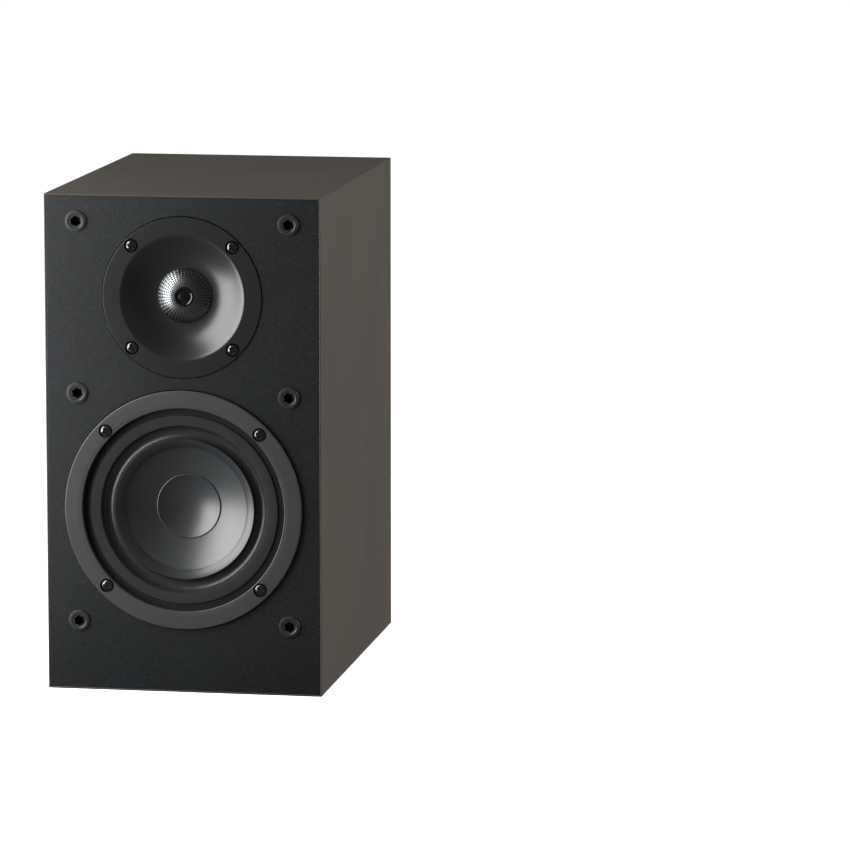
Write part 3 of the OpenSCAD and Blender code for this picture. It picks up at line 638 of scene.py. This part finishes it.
FINISHES = {
    "cabinet_wrap": wrap_finish("dark vinyl wrap", (0.062, 0.055, 0.046)),
    "rear_wrap": wrap_finish("dark rear wrap", (0.045, 0.041, 0.036)),
    "baffle_paint": baffle_finish(),
    "bare_board": plain(
        "bare fibreboard", (0.36, 0.23, 0.12), 0.8, mottle=80.0, mottling=0.4,
        grain_colour=0.5,
    ),
    "socket_plastic": plain(
        "socket plastic", (0.02, 0.022, 0.024), 0.38, grain=1800.0, grain_colour=0.3,
        mottle=120.0,
    ),
    "fibre_pad": fibre_finish("white fibre pad", (0.62, 0.6, 0.54)),
    "trim_rubber": ringed_finish(
        "satin trim ring", (0.046, 0.045, 0.043), 0.45, woofer.z, 900.0, 0.1, mottle=22.0,
        mottling=0.25, grain=1700.0, grain_colour=0.25, Specular_IOR_Level=0.42,
    ),
    "basket_paint": plain(
        "black stoved paint", (0.006, 0.006, 0.007), 0.6, mottle=60.0, grain_colour=0.4,
        Specular_IOR_Level=0.25
    ),
    "foam_gasket": plain(
        "foam gasket", (0.012, 0.012, 0.012), 0.95, grain=900.0, grain_colour=0.5,
        depth=0.2, strength=0.6,
    ),
    "surround_rubber": ringed_finish(
        "butyl rubber", (0.022, 0.0235, 0.025), 0.33, woofer.z, 1200.0, 0.08, mottle=35.0,
        mottling=0.2, grain=1500.0, grain_colour=0.2, Specular_IOR_Level=0.55,
    ),
    "cone_plastic": ringed_finish(
        "satin cone plastic", (0.033, 0.036, 0.039), 0.37, woofer.z, 2600.0, 0.06,
        grain=1600.0, mottle=40.0, mottling=0.18, grain_colour=0.3, depth=0.02,
        strength=0.25, Specular_IOR_Level=0.72,
    ),
    "coil_copper": plain(
        "copper winding", (0.56, 0.22, 0.09), 0.3, 1.0, stretch=(1, 1, 4), grain=900.0,
        grain_colour=0.5, depth=0.1,
    ),
    "spider_cloth": fibre_finish("varnished cloth", (0.52, 0.34, 0.08)),
    "plate_steel": plain(
        "zinc-plated steel", (0.56, 0.57, 0.58), 0.34, 1.0, mottle=120.0, mottling=0.3
    ),
    "magnet_ferrite": plain(
        "sintered ferrite", (0.03, 0.03, 0.032), 0.72, mottle=90.0, mottling=0.4,
        grain_colour=0.6,
    ),
    "tag_board": plain("phenolic board", (0.2, 0.08, 0.03), 0.55, mottle=150.0),
    "screw_black": plain(
        "black oxide steel", (0.012, 0.012, 0.013), 0.2, 0.2, mottle=400.0, mottling=0.5,
        grain=2500.0, Specular_IOR_Level=0.9, Coat_Weight=0.6, Coat_Roughness=0.08,
    ),
    "faceplate_plastic": ringed_finish(
        "satin faceplate", (0.011, 0.0125, 0.014), 0.32, tweeter.z, 1500.0, 0.05,
        mottle=30.0, mottling=0.15, grain=1900.0, grain_colour=0.25,
        Specular_IOR_Level=0.55,
    ),
    "guard_centre": plain(
        "gloss black disc", (0.004, 0.004, 0.0045), 0.14, mottle=200.0, mottling=0.1,
        strength=0.05, Specular_IOR_Level=0.4,
    ),
    "guard_metal": plain(
        "dark bright plate", (0.2, 0.205, 0.21), 0.3, 1.0, mottle=200.0, mottling=0.25
    ),
    "dome_metal": plain(
        "formed dome metal", (0.06, 0.061, 0.064), 0.34, 1.0, mottle=150.0, mottling=0.2
    ),
    "chamber_plastic": plain(
        "moulded black plastic", (0.014, 0.014, 0.015), 0.44, mottle=40.0, mottling=0.3,
        grain=1400.0, grain_colour=0.4, depth=0.04, strength=0.4,
    ),
    "post_metal": plain(
        "gold plate", (0.72, 0.5, 0.2), 0.22, 1.0, mottle=250.0, mottling=0.2
    ),
    "post_red": plain(
        "red terminal plastic", (0.4, 0.012, 0.01), 0.28, mottle=120.0, mottling=0.2
    ),
    "post_black": plain(
        "black terminal plastic", (0.013, 0.013, 0.013), 0.26, mottle=120.0, mottling=0.2
    ),
    "circuit_board": plain("green fibreglass", (0.02, 0.11, 0.04), 0.4, mottle=200.0),
    "capacitor_film": plain("wrapped film", (0.6, 0.46, 0.06), 0.3, mottle=100.0),
    "resistor_ceramic": plain("ceramic case", (0.72, 0.69, 0.62), 0.7, mottle=200.0),
    "wire_red": plain("red wire", (0.38, 0.014, 0.01), 0.45, mottle=150.0),
    "wire_black": plain("black wire", (0.013, 0.013, 0.013), 0.45, mottle=150.0),
    "grille_board": plain(
        "moulded grille frame", (0.011, 0.011, 0.012), 0.5, mottle=60.0, grain_colour=0.3
    ),
    "grille_knit": knit_finish(),
    "badge_metal": plain(
        "satin nameplate", (0.6, 0.61, 0.63), 0.3, 1.0, stretch=(1, 14, 1), grain=700.0,
        mottle=80.0, mottling=0.15, grain_colour=0.2,
    ),
}

for node_name, node in NODES.items():
    node.data.materials.clear()
    node.data.materials.append(FINISHES[SLOT_OF[node_name]])


def put(obj, body, node):
    """Fits a piece in place of its node, in the node's finish."""
    slot = SLOT_OF[node]
    fitted(obj, body, FINISHES[slot], slot, node)


# --------------------------------------------------------------- cabinet

for panel in ("top_panel", "bottom_panel", "left_side_panel", "right_side_panel"):
    put(softened(panel, panel + "_wrapped", BOARD_EDGE), "cabinet", panel)
put(softened("front_baffle", "baffle_painted", 0.3, 2), "cabinet", "front_baffle")


def star_cutter(centre, low, high):
    """A six-lobed hole: a many-sided prism with every other pair of sides drawn in."""
    sides = 24
    star = cylinder(centre, SOCKET_HOLE_R, low, high, vertices=sides)
    edit(star)
    mesh = bmesh.from_edit_mesh(star.data)
    for vertex in mesh.verts:
        angle = math.atan2(vertex.co.z - centre.z, vertex.co.x - centre.x)
        vertex.select = round(angle / (2 * math.pi) * sides) % 4 < 2
    bmesh.update_edit_mesh(star.data)
    bpy.ops.transform.resize(value=(SOCKET_LOBE, 1, SOCKET_LOBE), center_override=centre)
    bpy.ops.object.mode_set(mode="OBJECT")
    return star


def make_sockets():
    """Six rings with lobed holes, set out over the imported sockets."""
    low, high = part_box("grille_sockets")
    centre = Vector((low.x + SOCKET_R * MM, front_y, low.z + SOCKET_R * MM))
    ring = turned(
        "socket",
        centre,
        [(0, SOCKET_BODY_H), (SOCKET_BODY_R, SOCKET_BODY_H), (SOCKET_BODY_R, 0),
         (SOCKET_R, 0), (SOCKET_R, SOCKET_H - 0.5), (SOCKET_R - 0.25, SOCKET_H - 0.12),
         (SOCKET_R - 0.8, SOCKET_H), (SOCKET_R - 1.9, SOCKET_H),
         (SOCKET_R - 2.3, SOCKET_H - 0.3), (0, SOCKET_H - 0.35)],
        steps=64,
        closed=False,
    )
    carved(ring, [star_cutter(centre, SOCKET_HOLE_H, SOCKET_H + 1)])
    spans = [0, high.x - low.x - 2 * SOCKET_R * MM]
    heights = [0, SOCKET_MIDDLE_UP * MM, high.z - low.z - 2 * SOCKET_R * MM]
    places = [Matrix.Translation((x, 0, z)) for x in spans for z in heights]
    put(spread(ring, "grille_socket_rings", places), "cabinet", "grille_sockets")


make_sockets()

# ---------------------------------------------------------------- screws


def pan_screw(centre, length, turn):
    """A pan-head screw with a cross recess, turned to a given angle."""
    screw = turned(
        "screw",
        centre,
        [(0, -length), (SHANK_R * 0.7, -length + 1), (SHANK_R, -length + 3), (SHANK_R, 0),
         (HEAD_R - 0.15, 0), (HEAD_R, 0.25), (HEAD_R - 0.05, 0.8), (HEAD_R - 0.35, 1.35),
         (HEAD_R - 0.9, 1.8), (HEAD_R - 1.8, 2.1), (0, HEAD_H)],
        steps=40,
        closed=False,
    )
    for quarter in (0, 90):
        bpy.ops.object.select_all(action="DESELECT")
        bpy.ops.mesh.primitive_cube_add(size=MM, location=centre + FRONT * (HEAD_H * MM))
        bar = bpy.context.object
        bar.scale = CROSS_BAR
        bpy.ops.object.transform_apply(location=True, rotation=True, scale=True)
        spin = Matrix.Rotation(math.radians(turn + quarter), 4, "Y")
        bar.data.transform(
            Matrix.Translation(centre) @ spin @ Matrix.Translation(-centre)
        )
        use(screw, "BOOLEAN", operation="DIFFERENCE", solver="EXACT", object=bar)
        bpy.data.objects.remove(bar)
    return settle(screw, math.radians(28))


def driver_screws(name, node, centre, circle, seat_h, length, turns):
    """Screws round a driver, each with its cross at its own angle."""
    screws = [
        pan_screw(place + FRONT * (seat_h * MM), length, turn)
        for place, turn in zip(diagonal(centre, circle), turns)
    ]
    put(joined(name, screws), "cabinet", node)


driver_screws(
    "woofer_screw_set", "woofer_screws", woofer, WOOFER_SCREW_R, TRIM_H - HEAD_SINK,
    WOOFER_SCREW_L, (20, 62, 5, 38),
)
driver_screws(
    "tweeter_screw_set", "tweeter_screws", tweeter, TWEETER_SCREW_R, PLATE_H - HEAD_SINK,
    TWEETER_SCREW_L, (48, 12, 70, 30),
)

# ---------------------------------------------------------------- woofer


def recesses(centre, circle, floor_h, top_h):
    """Cutters for the seats of a driver's screw heads."""
    return [
        cylinder(place, HEAD_RECESS_R, floor_h, top_h)
        for place in diagonal(centre, circle)
    ]


trim = turned(
    "woofer_trim",
    woofer,
    [(TRIM_R, SEAT_H), (TRIM_R, TRIM_H), (TRIM_INNER + 2.4, TRIM_H),
     (TRIM_INNER + 1.9, TRIM_H - 0.25), (TRIM_INNER, TRIM_H - 0.25), (TRIM_INNER, SEAT_H)],
)
round_edges(trim, 0.55, 3, 50)
flat_faced(carved(trim, recesses(woofer, WOOFER_SCREW_R, TRIM_H - HEAD_SINK, TRIM_H + 2)))
put(trim, "cabinet", "woofer_trim_ring")


def flexes(obj, node, centre, still_r, moving_r):
    """Paints a ring, clamped outside still_r and held by the moving part inside moving_r, in its
    node's finish, bakes its place into its mesh and hides the node; it is set on no body, and its
    share of the motion is worked out but not kept.
    """
    slot = SLOT_OF[node]
    obj.data.materials.clear()
    obj.data.materials.append(FINISHES[slot])
    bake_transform(obj)
    moving_share(obj, centre, still_r, moving_r)
    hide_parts(node)


def moving_share(obj, centre, still_r, moving_r):
    """Works out how far each point would go with the moving part, from none to all across a ring,
    but keeps the result nowhere.
    """
    places = np.array([v.co for v in obj.data.vertices], float).reshape(-1, 3)
    radius = np.hypot(places[:, 0] - centre.x, places[:, 2] - centre.z) / MM
    share = np.clip((still_r - radius) / (still_r - moving_r), 0, 1)
    share = share * share * (3 - 2 * share)


def trough(swell, drop, steps):
    """Points of the surround's sunken half roll, from its outer edge in."""
    mid = (TROUGH_OUT + TROUGH_IN) / 2
    half = (TROUGH_OUT - TROUGH_IN) / 2 + swell
    flat = SEAT_H + SURROUND_T
    return [
        (
            mid + half * math.cos(math.pi * i / steps),
            flat + (RIM_H - flat) * i / steps - drop
            - TROUGH_DEEP * math.sin(math.pi * i / steps),
        )
        for i in range(steps + 1)
    ]


def make_surround():
    """The rubber roll between the basket and the cone."""
    flat = SEAT_H + SURROUND_T
    obj = turned(
        "woofer_surround_roll",
        woofer,
        [(SURROUND_R, SEAT_H), (SURROUND_R, flat - 0.3), (SURROUND_R - 0.3, flat),
         (TROUGH_OUT + 0.6, flat), (TROUGH_OUT + 0.2, flat - 0.08)]
        + trough(0, 0, 22)[1:]
        + [(TROUGH_IN - 0.5, RIM_H - 0.15), (FLANGE_R + 0.3, FLANGE_H + 0.1),
           (FLANGE_R, FLANGE_H - 0.2), (FLANGE_R, FLANGE_H - SURROUND_T)]
        + trough(TROUGH_WALL, SURROUND_T, 22)[::-1],
        steps=160,
    )
    flexes(obj, "woofer_surround", woofer, TROUGH_OUT, TROUGH_IN)


make_surround()
spider = settle(copy_of("woofer_spider", "woofer_spider_rings"), CLOTH_SMOOTH_ANGLE)
SPIDER_STILL_R = half_width("woofer_spider") - SPIDER_HELD
flexes(spider, "woofer_spider", woofer, SPIDER_STILL_R, SPIDER_MOVING_R)


def cone_line(drop):
    """The cone from its rim to its neck: nearly straight, sagging a little."""
    rim = (TROUGH_IN - TROUGH_WALL, RIM_H - SURROUND_T - drop)
    top = (FLANGE_R, FLANGE_H - SURROUND_T - drop)
    seat = (CAP_SEAT_R, CAP_H - drop)
    steps = 14
    curve = []
    for i in range(steps + 1):
        u = i / steps
        curve.append(
            (top[0] + (seat[0] - top[0]) * u,
             top[1] + (seat[1] - top[1]) * u - CONE_SAG * u * (1 - u))
        )
    return [rim] + curve + [(NECK_R, NECK_H - drop)]


cone = turned("woofer_cone_shell", woofer, cone_line(0) + cone_line(CONE_T)[::-1], steps=160)
put(cone, "woofer_cone", "woofer_cone")


def make_dust_cap():
    """The dished cap, with a rolled edge where it is glued to the cone."""
    steps = 16
    dish = [
        (CAP_SEAT_R * i / steps, CAP_H - CAP_DISH * (1 - (i / steps) ** 2))
        for i in range(steps + 1)
    ]
    edge = (CAP_R, CAP_H + 0.7)
    top = [(r, h + 0.5) for r, h in dish]
    obj = turned(
        "woofer_cap",
        woofer,
        dish + [edge, (CAP_R - 0.1, CAP_H + 1.0), (CAP_R - 0.5, CAP_H + 1.12)] + top[::-1],
        steps=128,
        closed=False,
    )
    put(obj, "woofer_cone", "woofer_dust_cap")


make_dust_cap()

# --------------------------------------------------------------- tweeter


def guide_h(r):
    """Height of the waveguide at a radius: a soft lip, then a bowl down to the throat."""
    u = (GUIDE_R - r) / (GUIDE_R - THROAT_R)
    eased = (math.sqrt(u * u + GUIDE_LIP**2) - GUIDE_LIP) * GUIDE_LIP_SCALE
    return PLATE_H - GUIDE_DEPTH * math.sin(math.pi / 2 * min(eased, 1))


def guide_points(r_from, r_to, drop, steps):
    """Points along the waveguide between two radii, lowered by drop."""
    radii = [r_from + (r_to - r_from) * i / steps for i in range(steps + 1)]
    return [(r, guide_h(r) - drop) for r in radii]


faceplate = turned(
    "tweeter_waveguide",
    tweeter,
    [(PLATE_R, PLATE_H - PLATE_T), (PLATE_R, PLATE_H - 0.35), (PLATE_R - 0.12, PLATE_H - 0.1),
     (PLATE_R - 0.4, PLATE_H)]
    + guide_points(GUIDE_R, THROAT_R, 0, 40)
    + [(THROAT_R, CLAMP_H), (CLAMP_R, CLAMP_H)]
    + guide_points(CLAMP_R, SKIRT_R - 3, 2.2, 14)
    + [(SKIRT_R - 2.5, SKIRT_H), (SKIRT_R, SKIRT_H), (SKIRT_R, PLATE_H - PLATE_T)],
)
flat_faced(
    carved(faceplate, recesses(tweeter, TWEETER_SCREW_R, PLATE_H - HEAD_SINK, PLATE_H + 2))
)
put(faceplate, "cabinet", "tweeter_faceplate")

roll = settle(copy_of("tweeter_suspension", "tweeter_suspension_roll"), CLOTH_SMOOTH_ANGLE)
flexes(
    roll, "tweeter_suspension", tweeter, CLAMP_R - ROLL_HELD, ROLL_MOVING_R
)


def guard_h(r):
    """Height of the guard's dome at a radius."""
    share = max(0.0, r - GUARD_MID_R) / (THROAT_R - GUARD_MID_R)
    return PLATE_H - GUIDE_DEPTH + GUARD_RISE * math.cos(math.pi / 2 * share)


def make_guard():
    """A domed shell whose rows of faces are inset and opened, then rounded and thickened."""
    rows = 9
    radii = [
        GUARD_MID_R + 0.3 + (THROAT_R - 0.5 - GUARD_MID_R) * i / rows
        for i in range(rows + 1)
    ]
    radii[-1] = THROAT_R - 0.1
    shell = turned(
        "tweeter_guard_mesh", tweeter, [(r, guard_h(r)) for r in radii], steps=44,
        closed=False,
    )
    edit(shell)
    bpy.ops.mesh.inset(thickness=GUARD_BAR * MM, use_individual=True, use_even_offset=True)
    bpy.ops.mesh.delete(type="FACE")
    bpy.ops.object.mode_set(mode="OBJECT")
    use(shell, "SUBSURF", levels=2, render_levels=2)
    use(shell, "SOLIDIFY", thickness=GUARD_T * MM, offset=-1)
    settle(shell, math.radians(40))
    put(shell, "cabinet", "tweeter_guard")
    top = guard_h(GUARD_MID_R)
    button = turned(
        "tweeter_guard_centre",
        tweeter,
        [(0, top - 0.9), (GUARD_MID_R + 0.5, top - 0.9), (GUARD_MID_R + 0.5, top - 0.1),
         (GUARD_MID_R + 0.2, top + 0.35), (GUARD_MID_R - 0.4, top + 0.45),
         (GUARD_MID_R - 1.0, top + 0.15), (GUARD_MID_R - 1.4, top - 0.35),
         (GUARD_MID_R - 2.0, top - 0.4), (GUARD_MID_R - 2.5, top - 0.15), (0, top - 0.05)],
        steps=72,
        closed=False,
    )
    fitted(button, "cabinet", FINISHES["guard_centre"], "guard_metal")


make_guard()

# ------------------------------------------------------------ rear panel


def make_port():
    """A flared tube: both faces follow a quarter round from the throat to the flange."""
    low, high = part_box("port_tube")
    flange_r = half_width("port_tube")
    lip_h = (high.y - rear_y) / MM
    end_h = (low.y - rear_y) / MM
    flare_r = flange_r - PORT_LIP
    steps = 20

    def flare(thick, top):
        return [
            (
                PORT_R + thick
                + (flare_r - PORT_R - thick) * (1 - math.cos(math.pi / 2 * i / steps)),
                top - FLARE_LENGTH * (1 - math.sin(math.pi / 2 * i / steps)),
            )
            for i in range(steps + 1)
        ]

    obj = turned(
        "port_flare",
        port,
        [(PORT_R, end_h)] + flare(0, lip_h)
        + [(flange_r - 1.2, lip_h), (flange_r - 0.4, lip_h - 0.4), (flange_r, lip_h - 1.2),
           (flange_r, 0)]
        + flare(PORT_WALL, 0)[::-1] + [(PORT_R + PORT_WALL, end_h)],
        out=REAR,
        steps=112,
    )
    put(obj, "cabinet", "port_tube")


make_port()
put(softened("terminal_cup", "terminal_tray", 0.5, 3), "cabinet", "terminal_cup")
put(softened("post_studs", "post_stud_pair", 0.25, 2), "cabinet", "post_studs")
put(softened("post_ring_red", "post_collar_red", 0.4, 3), "cabinet", "post_ring_red")
put(softened("post_ring_black", "post_collar_black", 0.4, 3), "cabinet", "post_ring_black")
put(softened("post_cap_red", "post_knob_red", 0.22, 2, 40), "red_cap", "post_cap_red")
put(softened("post_cap_black", "post_knob_black", 0.22, 2, 40), "black_cap", "post_cap_black")
put(softened("terminal_screws", "terminal_screw_set", 0.12, 2), "cabinet", "terminal_screws")

# ---------------------------------------------------------------- grille


def make_cloth():
    """The knit pulled over the frame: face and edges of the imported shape, rounded."""
    low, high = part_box("grille_cloth")
    obj = copy_of("grille_cloth", "grille_knit_cover")
    edit(obj)
    mesh = bmesh.from_edit_mesh(obj.data)
    middle_y, middle_z = (low.y + high.y) / 2, (low.z + high.z) / 2
    for face in mesh.faces:
        spot = face.calc_center_median()
        outward = Vector((0, spot.y - middle_y, spot.z - middle_z))
        is_face = face.normal.x < -0.9 and spot.x < low.x + FLUSH
        is_edge = abs(face.normal.x) < 0.1 and face.normal.dot(outward) > 0
        face.select = not (is_face or is_edge)
    bmesh.update_edit_mesh(obj.data)
    bpy.ops.mesh.delete(type="FACE")
    mesh = bmesh.from_edit_mesh(obj.data)
    bpy.ops.mesh.select_all(action="DESELECT")
    bpy.ops.mesh.select_mode(type="EDGE")
    for edge in mesh.edges:
        at_front = all(v.co.x < low.x + FLUSH for v in edge.verts)
        edge.select = at_front and len(edge.link_faces) == 2
    bmesh.update_edit_mesh(obj.data)
    bpy.ops.mesh.bevel(offset=CLOTH_ROUND * MM, segments=6, affect="EDGES", clamp_overlap=False)
    bpy.ops.object.mode_set(mode="OBJECT")
    use(obj, "SOLIDIFY", thickness=CLOTH_T * MM, offset=-1)
    settle(obj)
    put(obj, "grille", "grille_cloth")


def make_badge():
    """A plain oval nameplate with a raised rim."""
    obj = copy_of("grille_badge", "grille_nameplate")
    edit(obj)
    mesh = bmesh.from_edit_mesh(obj.data)
    bpy.ops.mesh.select_mode(type="FACE")
    for face in mesh.faces:
        face.select = face.normal.x < -0.9
    bmesh.update_edit_mesh(obj.data)
    bpy.ops.mesh.inset(thickness=BADGE_RIM * MM)
    bpy.ops.transform.translate(value=(BADGE_SUNK * MM, 0, 0))
    bpy.ops.object.mode_set(mode="OBJECT")
    round_edges(obj, 0.25, 3, 40)
    settle(obj)
    put(obj, "grille", "grille_badge")


put(softened("grille_frame", "grille_frame_board", 0.5, 2), "grille", "grille_frame")
make_cloth()
make_badge()

# ---------------------------------------------- floor, lights, background


def make_floor():
    """A wide pale floor that glows a little and throws no light on the speaker."""
    bpy.ops.object.select_all(action="DESELECT")
    bpy.ops.mesh.primitive_plane_add(size=24, location=(0, 0, 0))
    floor = bpy.context.object
    floor.name = "floor"
    settle(floor)
    floor.data.materials.append(
        plain(
            "pale studio floor", (0.86, 0.86, 0.86), 0.6, mottle=2.0, mottling=0.01,
            grain=300.0, grain_colour=0.01, strength=0.05, Emission_Color=(1, 1, 1, 1),
            Emission_Strength=0.75,
        )
    )
    floor.visible_diffuse = False
    floor.visible_glossy = False


def softbox(name, place, aim, size, power):
    """A rectangular light at place, turned to aim, that the camera does not see."""
    data = bpy.data.lights.new(name, "AREA")
    data.shape = "RECTANGLE"
    data.size, data.size_y = size
    data.energy = power
    light = bpy.data.objects.new(name, data)
    light.location = place
    light.rotation_euler = (Vector(aim) - Vector(place)).to_track_quat("-Z", "Y").to_euler()
    light.visible_camera = False
    bpy.context.collection.objects.link(light)


def overhead_light(power, spread_angle, tilt, roll):
    """A broad soft light from above."""
    light = bpy.data.objects.new("overhead", bpy.data.lights.new("overhead", "SUN"))
    light.data.energy = power
    light.data.angle = math.radians(spread_angle)
    light.rotation_euler = (math.radians(tilt), math.radians(roll), 0)
    bpy.context.collection.objects.link(light)


def make_background(tint, strength):
    """White paper to the camera, and a weak cool sky to everything else."""
    world = bpy.data.worlds.new("studio")
    world.use_nodes = True
    bpy.context.scene.world = world
    tree = world.node_tree
    sky = tree.nodes["Background"]
    sky.inputs["Color"].default_value = tint
    sky.inputs["Strength"].default_value = strength
    paper = tree.nodes.new("ShaderNodeBackground")
    paper.inputs["Color"].default_value = (1, 1, 1, 1)
    seen = tree.nodes.new("ShaderNodeLightPath")
    either = tree.nodes.new("ShaderNodeMixShader")
    tree.links.new(seen.outputs["Is Camera Ray"], either.inputs[0])
    tree.links.new(sky.outputs[0], either.inputs[1])
    tree.links.new(paper.outputs[0], either.inputs[2])
    tree.links.new(either.outputs[0], tree.nodes["World Output"].inputs["Surface"])


make_floor()
softbox("key softbox", (-0.365, -0.288, 0.27), (0, -0.1, 0.17), (0.36, 0.56), 6.0)
softbox("floor bounce", (0, -0.34, 0.01), (0, -0.34, 1), (0.5, 0.36), 0.06)
softbox("side softbox", (2.2, 0.35, 0.9), (0, 0, 0.15), (1.6, 1.6), 64)
overhead_light(0.8, 40, -8, -6)
make_background((0.95, 0.98, 1, 1), 0.1)
